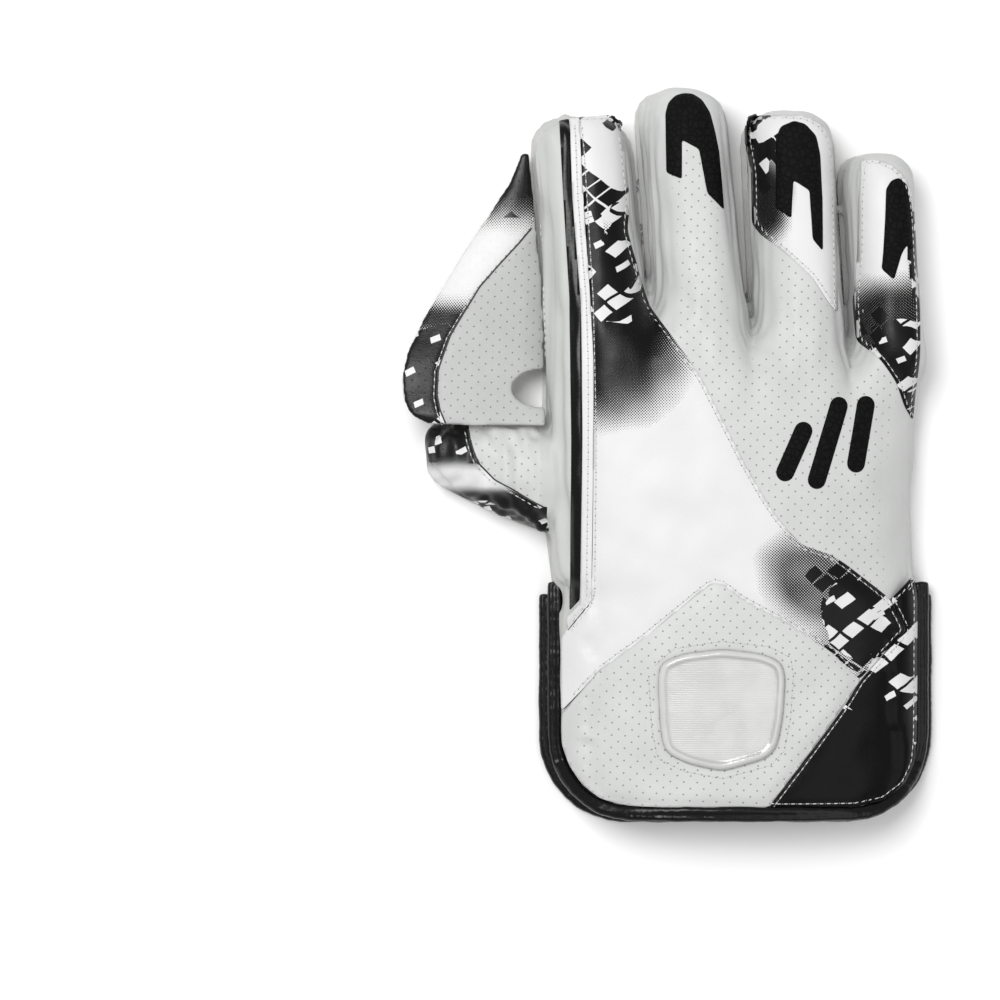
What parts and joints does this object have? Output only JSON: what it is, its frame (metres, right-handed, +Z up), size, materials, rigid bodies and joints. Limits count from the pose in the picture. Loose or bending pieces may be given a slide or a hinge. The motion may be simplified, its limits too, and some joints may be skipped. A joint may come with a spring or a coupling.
{
  "type": "wicketkeeping glove",
  "caption": "Right-hand wicketkeeping glove lying palm down: padded leather back, rubber palm, web, long bound cuff and bare moulded badge.",
  "frame": {"origin": "on the surface that the glove lies on, under the middle of its box", "axes": "+X towards the little finger's side, +Y along the glove to the fingertips, +Z up from the surface, through the back of the hand"},
  "size_m": [0.2549, 0.3512, 0.052],
  "materials": {
    "back_leather": "satin",
    "white_leather": "satin",
    "black_leather": "gloss",
    "black_mesh": "matte",
    "palm_rubber": "matte",
    "badge_plastic": "gloss"
  },
  "bodies": {
    "root": {"palm_face": "palm_rubber", "web_face": "palm_rubber", "web_back": "back_leather", "hand_back": "back_leather", "index_stall": "back_leather", "middle_stall": "back_leather", "ring_stall": "back_leather", "little_stall": "back_leather", "thumb_stall": "back_leather", "middle_pad": "black_mesh", "ring_pad": "black_mesh", "little_pad": "black_mesh", "vent_inner": "black_mesh", "vent_middle": "black_mesh", "vent_outer": "black_mesh", "side_strip": "black_leather", "side_piping": "white_leather", "cuff_back": "back_leather", "cuff_palm": "back_leather", "cuff_back_binding": "black_leather", "cuff_palm_binding": "black_leather", "shield_panel": "white_leather", "corner_panel": "black_leather", "badge": "badge_plastic"}
  },
  "joints": []
}
